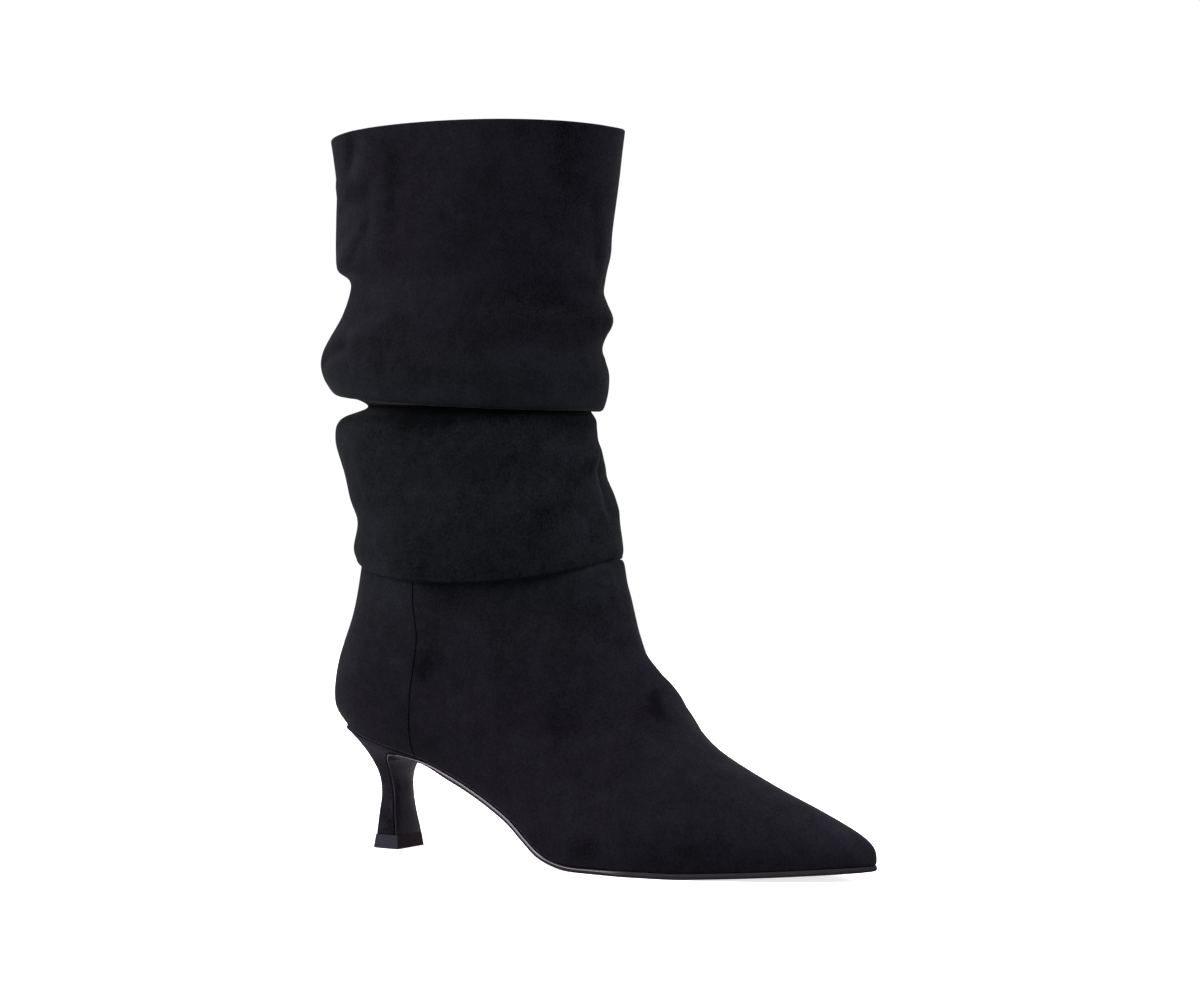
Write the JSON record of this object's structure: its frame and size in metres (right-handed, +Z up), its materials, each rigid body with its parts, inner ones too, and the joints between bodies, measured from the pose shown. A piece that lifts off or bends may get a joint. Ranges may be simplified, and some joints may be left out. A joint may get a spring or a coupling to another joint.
{
  "type": "mid-calf boot",
  "caption": "Slouched pull-on mid-calf boot for the right foot, in black suede, with a pointed toe and a flared kitten heel.",
  "frame": {"origin": "on the floor, under the middle of the boot's bounding box", "axes": "+X to the toe, +Y to the inner side of the foot, +Z up"},
  "size_m": [0.2676, 0.0938, 0.3138],
  "materials": {
    "glossy_sole": "gloss black",
    "sock_cloth": "black sock cloth",
    "heel_suede": "black suede with a glossy breast",
    "tip_plastic": "satin dark grey",
    "foot_suede": "black suede, matte nap",
    "leg_suede": "black suede, matte nap"
  },
  "bodies": {
    "root": {"outsole": "glossy_sole", "insole": "sock_cloth", "heel": "heel_suede", "heel_tip": "tip_plastic", "upper": "foot_suede", "shaft": "leg_suede"}
  },
  "joints": []
}
